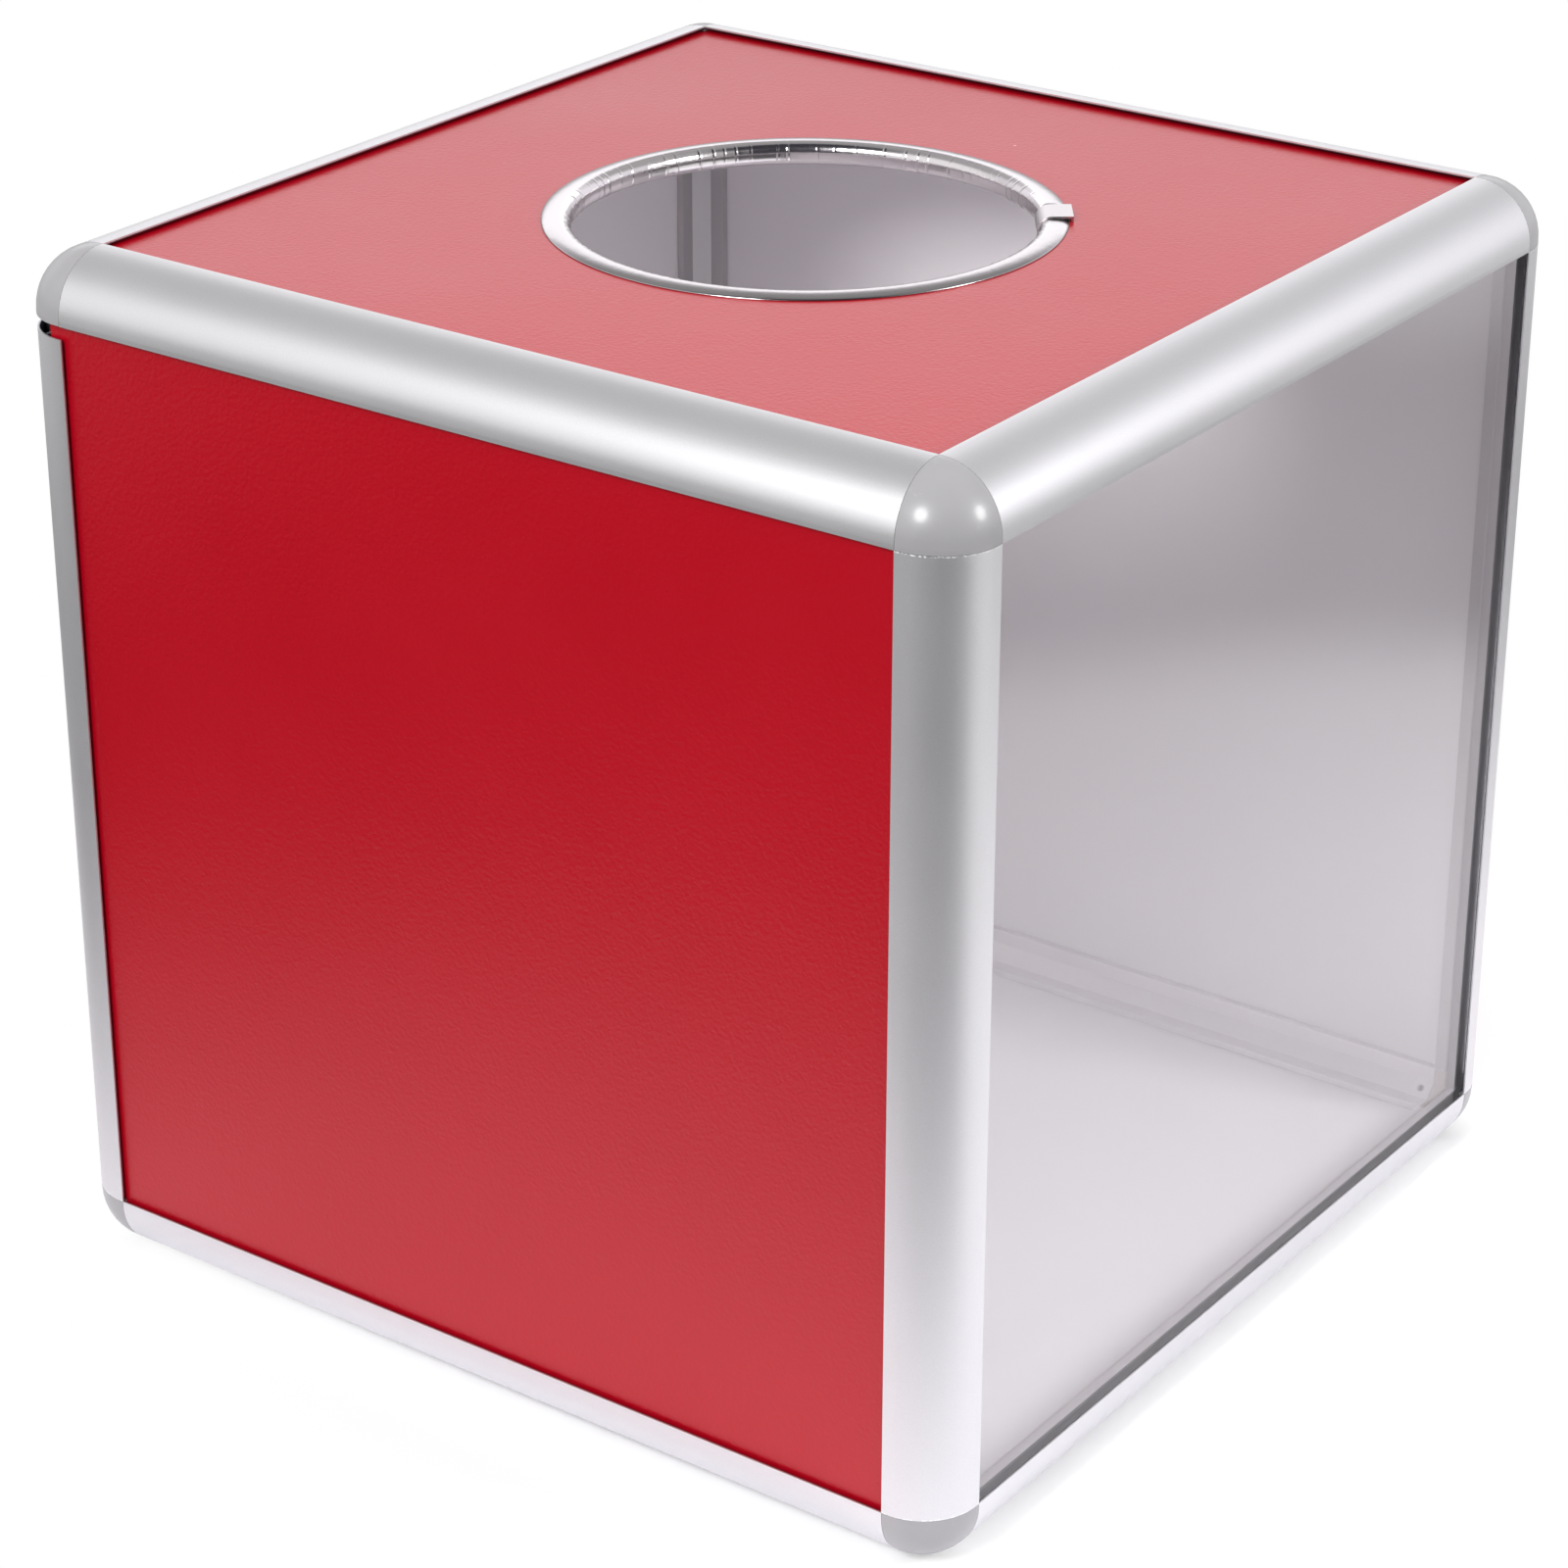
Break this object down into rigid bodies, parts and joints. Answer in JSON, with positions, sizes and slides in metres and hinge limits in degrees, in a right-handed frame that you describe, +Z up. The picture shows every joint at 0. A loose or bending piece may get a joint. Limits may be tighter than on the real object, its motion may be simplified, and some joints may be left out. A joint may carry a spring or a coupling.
{
  "type": "donation box",
  "caption": "Cube-shaped donation or raffle box: aluminium edge rails, plastic ball corners, red panels, a clear side window and a trimmed round hand hole in the top.",
  "frame": {"origin": "middle of the underside, on the plane of the bottom rails that the box stands on", "axes": "+Z up, -Y out of the red front, +X out of the clear window"},
  "size_m": [0.3, 0.3, 0.3],
  "materials": {
    "rail": "satin anodised",
    "corner": "smooth moulded",
    "red_board": "board faced with red foil of a fine leather grain outside, plain grey inside",
    "floor_board": "plain satin",
    "window": "clear polished acrylic",
    "trim": "bright, creased at the bend",
    "clip": "bright sheet metal"
  },
  "bodies": {
    "root": {"back_panel": "red_board", "bottom_corners": "corner", "bottom_rail_back": "rail", "bottom_rail_front": "rail", "bottom_rail_left": "rail", "bottom_rail_right": "rail", "floor_panel": "floor_board", "front_panel": "red_board", "hole_trim": "trim", "left_panel": "red_board", "post_back_left": "rail", "post_back_right": "rail", "post_front_left": "rail", "post_front_right": "rail", "top_corners": "corner", "top_panel": "red_board", "top_rail_back": "rail", "top_rail_front": "rail", "top_rail_left": "rail", "top_rail_right": "rail", "trim_clip": "clip", "window_panel": "window"}
  },
  "joints": []
}
